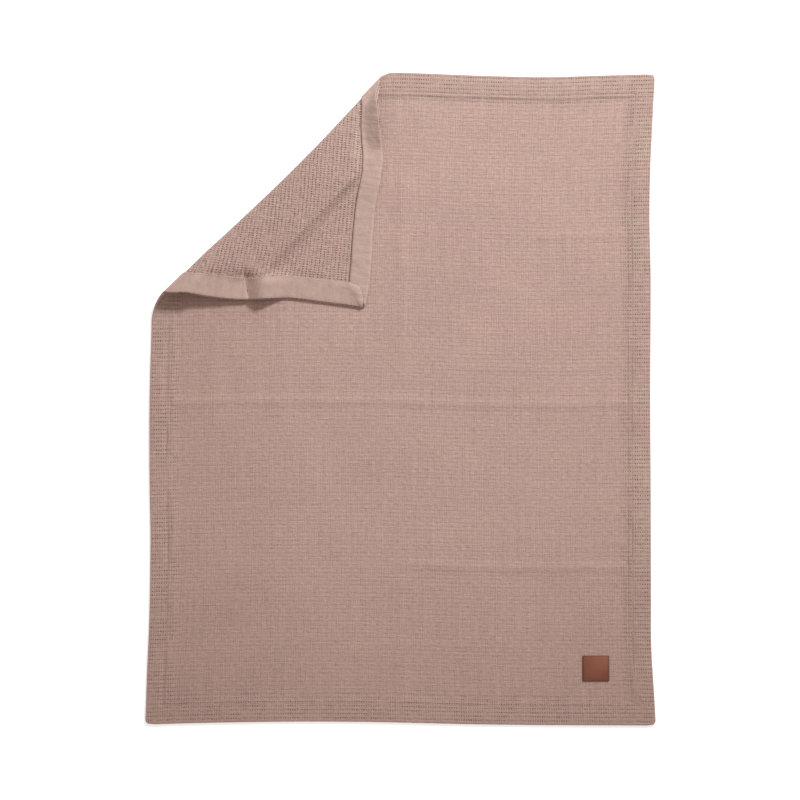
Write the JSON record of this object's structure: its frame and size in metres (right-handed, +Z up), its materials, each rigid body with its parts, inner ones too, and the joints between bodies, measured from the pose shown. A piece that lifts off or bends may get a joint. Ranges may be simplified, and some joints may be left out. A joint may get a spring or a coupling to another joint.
{
  "type": "cellular blanket",
  "caption": "Flat cotton cellular baby blanket with plain woven facings on its back, a bare leather patch, and its top left corner turned over to the front.",
  "frame": {"origin": "middle of the blanket's outline, on the surface it lies on", "axes": "+Z up from the surface, +X across the blanket to its right side and +Y along it to its top edge, with the front of the cloth up"},
  "size_m": [0.7731, 0.9896, 0.0298],
  "materials": {
    "cell_cloth": "matte",
    "facing_cloth": "matte",
    "leather": "matte"
  },
  "bodies": {
    "root": {"panel": "cell_cloth", "facing_top": "facing_cloth", "facing_right": "facing_cloth", "facing_bottom": "facing_cloth", "facing_left": "facing_cloth", "label": "leather"}
  },
  "joints": []
}
